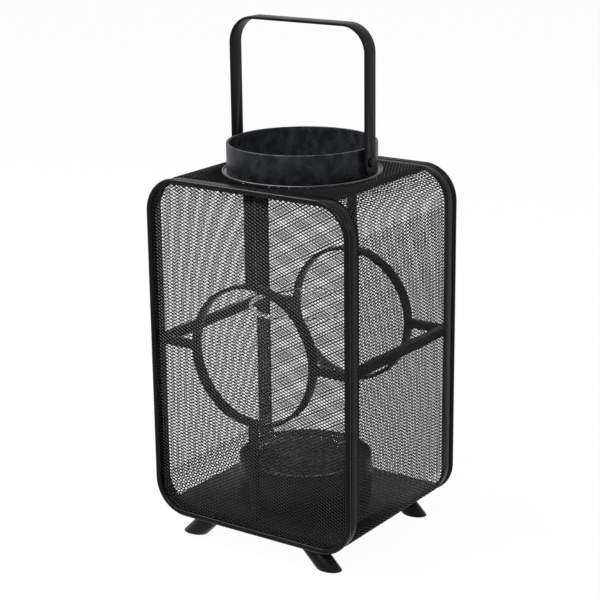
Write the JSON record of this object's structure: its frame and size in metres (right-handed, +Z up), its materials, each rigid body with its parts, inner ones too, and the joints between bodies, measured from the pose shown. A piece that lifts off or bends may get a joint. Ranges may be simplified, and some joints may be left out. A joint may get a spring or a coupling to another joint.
{
  "type": "candle lantern",
  "caption": "Mesh candle lantern with rounded rod hoops, ring trim, a lift-out glass on a round plinth, an open top collar and a swinging strap handle.",
  "frame": {"origin": "floor level under the middle of the lantern", "axes": "+X to the right seen from the front, +Y to the back, +Z up"},
  "size_m": [0.2154, 0.181, 0.4743],
  "materials": {
    "frame_paint": "satin black",
    "mesh_paint": "satin black",
    "sheet_paint": "satin black",
    "strap_paint": "satin black",
    "foot_paint": "satin black",
    "rivet_paint": "satin black",
    "glass": "clear"
  },
  "bodies": {
    "lantern": {"front_hoop": "frame_paint", "front_mesh": "mesh_paint", "front_band": "frame_paint", "front_ring": "frame_paint", "front_spoke_left": "frame_paint", "front_spoke_right": "frame_paint", "front_spoke_top": "frame_paint", "front_spoke_bottom": "frame_paint", "front_left_foot": "foot_paint", "front_right_foot": "foot_paint", "back_hoop": "frame_paint", "back_mesh": "mesh_paint", "back_band": "frame_paint", "back_ring": "frame_paint", "back_spoke_left": "frame_paint", "back_spoke_right": "frame_paint", "back_spoke_top": "frame_paint", "back_spoke_bottom": "frame_paint", "back_left_foot": "foot_paint", "back_right_foot": "foot_paint", "left_bar": "frame_paint", "left_mesh": "mesh_paint", "left_top_bend": "mesh_paint", "left_low_bend": "mesh_paint", "left_rivet": "rivet_paint", "right_bar": "frame_paint", "right_mesh": "mesh_paint", "right_top_bend": "mesh_paint", "right_low_bend": "mesh_paint", "right_rivet": "rivet_paint", "top_mesh": "mesh_paint", "base_tray": "sheet_paint", "plinth": "sheet_paint", "collar": "sheet_paint", "collar_flange": "sheet_paint"},
    "handle": {"handle": "strap_paint"},
    "glass": {"glass": "glass"}
  },
  "joints": [
    {"name": "handle_swing", "type": "hinge", "parent": "lantern", "child": "handle", "pos_m": [0, 0, 0.3547], "axis": [1, 0, 0], "range_deg": [-90, 90]},
    {"name": "glass_lift", "type": "slide", "parent": "lantern", "child": "glass", "axis": [0, 0, 1], "range_m": [0, 0.24]}
  ]
}
